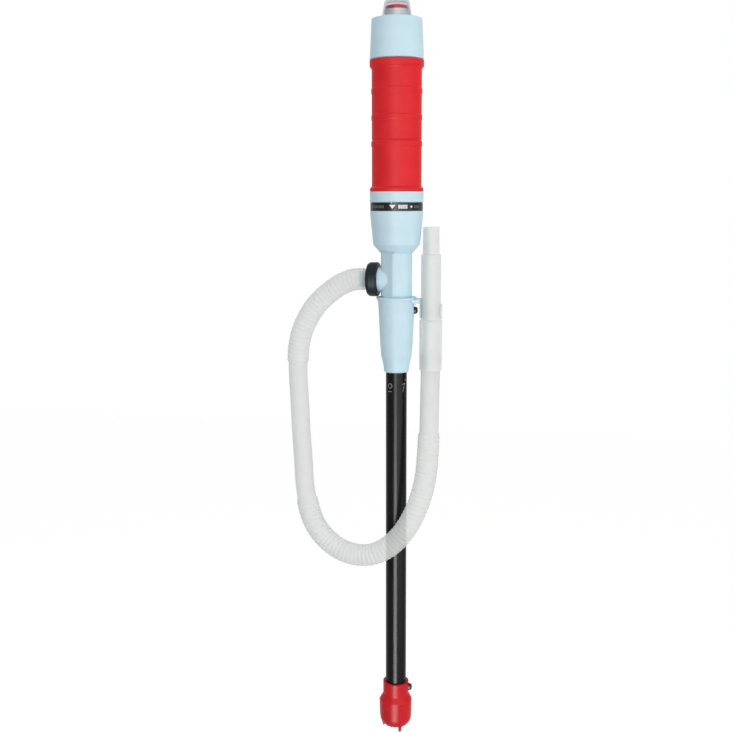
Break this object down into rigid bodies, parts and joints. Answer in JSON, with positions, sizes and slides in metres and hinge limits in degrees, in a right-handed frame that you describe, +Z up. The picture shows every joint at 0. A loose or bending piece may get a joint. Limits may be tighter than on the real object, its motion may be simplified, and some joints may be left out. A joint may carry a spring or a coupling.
{
  "type": "battery liquid transfer pump",
  "caption": "Hand-held battery transfer pump: twist-off battery handle with a top button, motor housing, long suction tube with a strainer and impeller at its foot, and a clipped delivery hose.",
  "frame": {"origin": "on the pump's axis at the lower end of the tube socket, where the suction tube passes into a container's mouth", "axes": "+Z up along the pump's axis to the button, -X the outlet and its nut, +X the hose clip, -Y the front with the label band's mark"},
  "size_m": [0.1322, 0.0524, 0.6112],
  "materials": {
    "pale_blue_plastic": "satin moulded plastic",
    "red_plastic": "satin moulded plastic",
    "black_plastic": "semi-gloss extruded plastic",
    "dark_plastic": "fine satin",
    "label_black": "printed gloss film",
    "clear_hose": "translucent soft plastic",
    "clear_boot": "clear soft plastic",
    "black_screw": "black oxide",
    "steel": "plain steel",
    "brass": "plain brass",
    "magnet": "sintered ferrite",
    "nylon": "natural moulded plastic",
    "rubber": "matt",
    "cell_can": "plain jacket"
  },
  "bodies": {
    "pump": {"motor_housing": "pale_blue_plastic", "label_band": "label_black", "tube_socket": "pale_blue_plastic", "socket_screw": "black_screw", "socket_o_ring": "rubber", "suction_tube": "black_plastic", "strainer_body": "red_plastic", "strainer_screw": "black_screw", "intake_basket": "red_plastic", "lower_bush": "brass", "shaft_guides": "nylon", "shaft_seal": "rubber", "seal_plate": "steel", "motor_can": "steel", "motor_magnets": "magnet", "motor_end_bell": "black_plastic", "contact_plate": "nylon", "motor_contact": "brass", "battery_spring": "steel", "hose": "clear_hose", "hose_cuff": "clear_hose", "discharge_nozzle": "clear_hose"},
    "nut": {"hose_nut": "dark_plastic"},
    "rotor": {"motor_armature": "steel", "shaft_coupling": "brass", "drive_shaft": "steel", "impeller": "nylon"},
    "handle": {"battery_barrel": "pale_blue_plastic", "grip_sleeve": "red_plastic", "top_cap": "pale_blue_plastic", "collar_gasket": "rubber", "contact_strip": "brass", "battery_lower": "cell_can", "battery_upper": "cell_can", "top_contact": "brass", "switch_body": "black_plastic", "switch_boot": "clear_boot", "button_spring": "steel"},
    "button": {"push_button": "red_plastic"}
  },
  "joints": [
    {"name": "handle_twist", "type": "hinge", "parent": "pump", "child": "handle", "pos_m": [0, 0, 0.1386], "axis": [0, 0, 1], "range_deg": [0, 40]},
    {"name": "button_press", "type": "slide", "parent": "handle", "child": "button", "axis": [0, 0, -1], "range_m": [0, 0.0015], "stiffness_N_per_m": 1200, "springref_m": -0.001, "deforming": ["switch_boot", "button_spring"]},
    {"name": "rotor_spin", "type": "hinge", "parent": "pump", "child": "rotor", "pos_m": [0, 0, 0], "axis": [0, 0, 1], "continuous": true},
    {"name": "nut_turn", "type": "hinge", "parent": "pump", "child": "nut", "pos_m": [-0.021, 0, 0.0763], "axis": [-1, 0, 0], "range_deg": [0, 360]}
  ]
}
